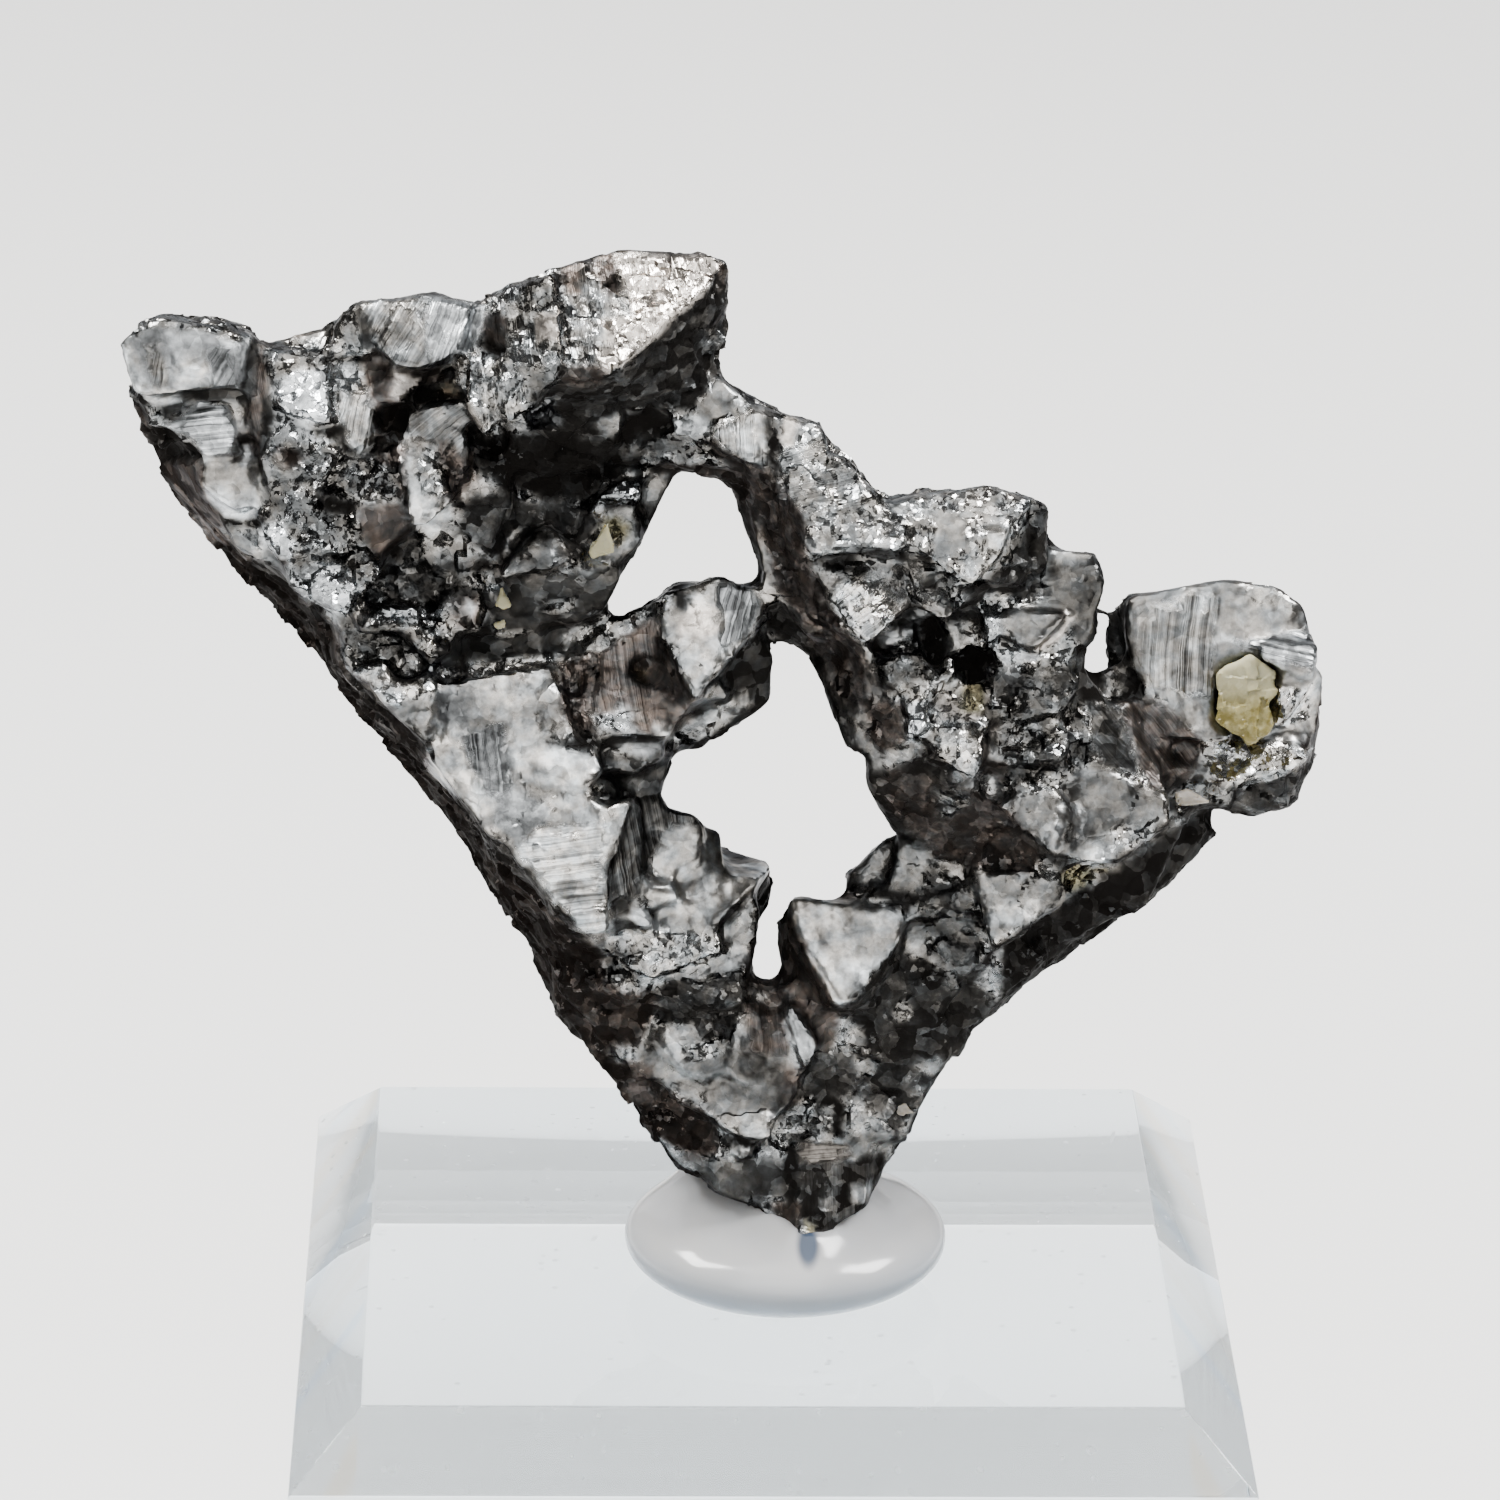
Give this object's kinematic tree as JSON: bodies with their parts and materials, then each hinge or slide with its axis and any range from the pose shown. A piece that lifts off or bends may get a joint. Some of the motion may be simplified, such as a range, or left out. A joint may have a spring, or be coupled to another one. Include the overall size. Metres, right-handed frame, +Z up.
{
  "type": "acanthite specimen on stand",
  "caption": "V-shaped group of grown-together metallic crystals held upright by a blob of milky tack on a bevelled clear acrylic block.",
  "frame": {"origin": "centre of the acrylic block's underside, on the surface that it stands on", "axes": "+Z up; +X to the right and +Y away from the viewer, along the block's sides"},
  "size_m": [0.0401, 0.0318, 0.0561],
  "materials": {
    "acanthite": "bright metallic grey crystal faces with brown tarnish in the recesses",
    "clear_acrylic": "polished clear",
    "milky_tack": "glossy, slightly translucent",
    "yellow_grain": "pale yellow mineral grain, broken and slightly translucent",
    "pale_grain": "pale mineral grain"
  },
  "bodies": {
    "root": {"acrylic_base": "clear_acrylic", "acanthite_cluster": "acanthite", "mineral_tack": "milky_tack", "yellow_grain_large": "yellow_grain", "yellow_grain_flake": "yellow_grain", "yellow_grain_triangular": "yellow_grain", "yellow_grain_small": "yellow_grain", "pale_grain": "pale_grain", "white_bead": "pale_grain"}
  },
  "joints": []
}
